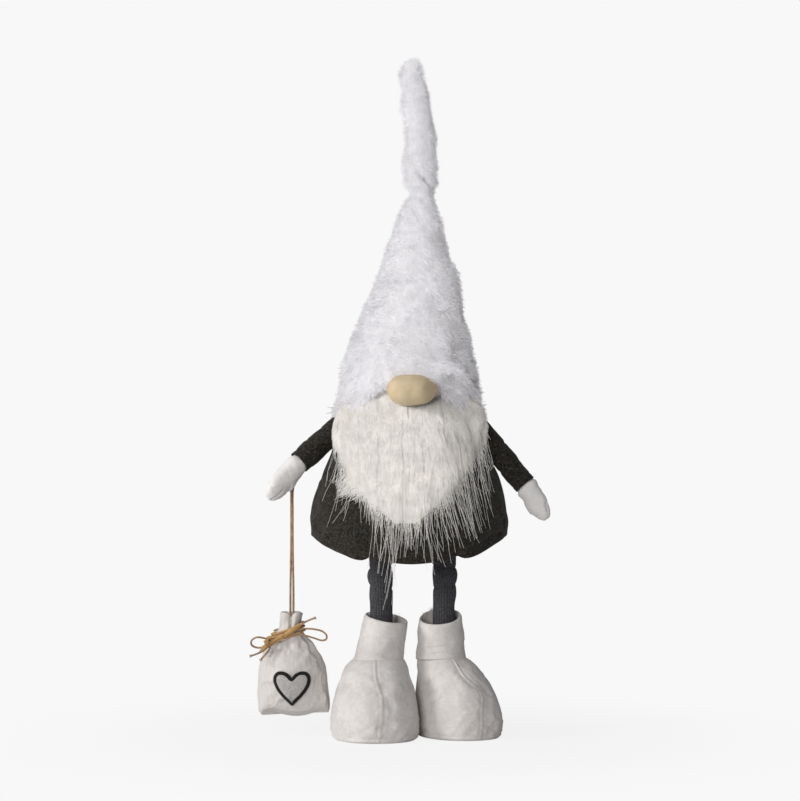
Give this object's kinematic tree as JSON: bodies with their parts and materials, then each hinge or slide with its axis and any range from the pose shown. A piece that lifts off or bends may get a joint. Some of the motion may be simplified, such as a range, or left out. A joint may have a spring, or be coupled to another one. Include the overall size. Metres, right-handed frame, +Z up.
{
  "type": "tomte figure",
  "caption": "Soft standing tomte figure in a tall fur hat with a long beard, felt coat and boots, telescopic legs, posable arms and a small bag hung from one hand.",
  "frame": {"origin": "on the floor, under the middle of the bounding box of the figure and its bag, measured without the free twine", "axes": "+Z up; the figure looks along -Y; its own right hand, which holds the bag, is at -X"},
  "size_m": [0.2627, 0.1492, 0.5958],
  "materials": {
    "coat_felt": "dark grey melange wool felt",
    "white_fur": "long-pile white faux fur",
    "jersey": "beige stuffed jersey",
    "white_felt": "white felt",
    "boot_felt": "off-white wool felt",
    "dark_knit": "dark ribbed knit",
    "linen": "white linen-like weave",
    "jute": "natural jute twine",
    "black_felt": "black felt",
    "grey_felt": "light grey felt",
    "stuffing": "polyester fibre filling",
    "base_board": "stiff grey board",
    "tube_plastic": "grey plastic tube",
    "sand": "sand in a cloth sack",
    "steel_wire": "armature wire"
  },
  "bodies": {
    "torso": {"nose": "jersey", "coat": "coat_felt", "coat_base": "coat_felt", "base_board": "base_board", "shoulder_wire": "steel_wire", "torso_filling": "stuffing", "left_leg_outer_tube": "tube_plastic", "left_leg_knit": "dark_knit", "right_leg_outer_tube": "tube_plastic", "right_leg_knit": "dark_knit", "hat": "white_fur", "hat_wire": "steel_wire", "hat_filling": "stuffing", "beard": "white_fur"},
    "hat_tip_body": {"hat_tip": "white_fur", "hat_tip_wire": "steel_wire"},
    "right_arm": {"right_sleeve": "coat_felt", "right_arm_filling": "stuffing", "right_arm_wire": "steel_wire", "right_mitten": "white_felt"},
    "left_arm": {"left_sleeve": "coat_felt", "left_arm_filling": "stuffing", "left_arm_wire": "steel_wire", "left_mitten": "white_felt"},
    "twine_loop": {"hand_loop": "jute"},
    "hanging_twine": {"twine_strand_left": "jute", "twine_strand_right": "jute"},
    "hanging_bag": {"bag": "linen", "bag_filling": "stuffing", "twine_wrap": "jute", "bow_knot": "jute", "bow_loop_left": "jute", "bow_loop_right": "jute", "bow_tail_upper": "jute", "bow_tail_left": "jute", "bow_tail_lower": "jute", "heart_backing": "black_felt", "heart": "grey_felt"},
    "right_leg": {"right_leg_inner_tube": "tube_plastic"},
    "left_leg": {"left_leg_inner_tube": "tube_plastic"},
    "right_boot": {"right_boot_sole": "boot_felt", "right_boot_upper": "boot_felt", "right_foot_socket": "tube_plastic", "right_boot_weight": "sand", "right_boot_filling": "stuffing", "right_boot_cuff": "boot_felt"},
    "left_boot": {"left_boot_sole": "boot_felt", "left_boot_upper": "boot_felt", "left_foot_socket": "tube_plastic", "left_boot_weight": "sand", "left_boot_filling": "stuffing", "left_boot_cuff": "boot_felt"}
  },
  "joints": [
    {"name": "hat_tip_bend", "type": "hinge", "parent": "torso", "child": "hat_tip_body", "pos_m": [0.01499, 0.00366, 0.4858], "axis": [0, 1, 0], "range_deg": [-60, 60]},
    {"name": "right_arm_lift", "type": "hinge", "parent": "torso", "child": "right_arm", "pos_m": [-0.05601, 0.00366, 0.272], "axis": [0, 1, 0], "range_deg": [0, 40]},
    {"name": "left_arm_lift", "type": "hinge", "parent": "torso", "child": "left_arm", "pos_m": [0.06399, 0.00366, 0.2705], "axis": [0, -1, 0], "range_deg": [0, 40]},
    {"name": "twine_loop_turn", "type": "hinge", "parent": "right_arm", "child": "twine_loop", "pos_m": [-0.09861, -0.00584, 0.213], "axis": [0, 1, 0], "range_deg": [-40, 0]},
    {"name": "bag_swing", "type": "hinge", "parent": "twine_loop", "child": "hanging_twine", "pos_m": [-0.09861, -0.00584, 0.213], "axis": [1, 0, 0], "range_deg": [-20, 20]},
    {"name": "bag_spin", "type": "hinge", "parent": "hanging_twine", "child": "hanging_bag", "pos_m": [-0.09861, -0.00584, 0.098], "axis": [0, 0, 1], "range_deg": [-45, 45]},
    {"name": "right_leg_slide", "type": "slide", "parent": "torso", "child": "right_leg", "axis": [0, 0, -1], "range_m": [0, 0.1], "deforming": ["right_leg_knit"]},
    {"name": "left_leg_slide", "type": "slide", "parent": "torso", "child": "left_leg", "axis": [0, 0, -1], "range_m": [0, 0.1], "deforming": ["left_leg_knit"]},
    {"name": "right_boot_turn", "type": "hinge", "parent": "right_leg", "child": "right_boot", "pos_m": [-0.02061, -0.00234, 0.075], "axis": [0, 0, -1], "range_deg": [0, 15]},
    {"name": "left_boot_turn", "type": "hinge", "parent": "left_leg", "child": "left_boot", "pos_m": [0.03479, 0.00966, 0.075], "axis": [0, 0, 1], "range_deg": [0, 25]}
  ],
  "couplings": [
    {"joint": "twine_loop_turn", "follows": "right_arm_lift", "ratio": -1}
  ]
}
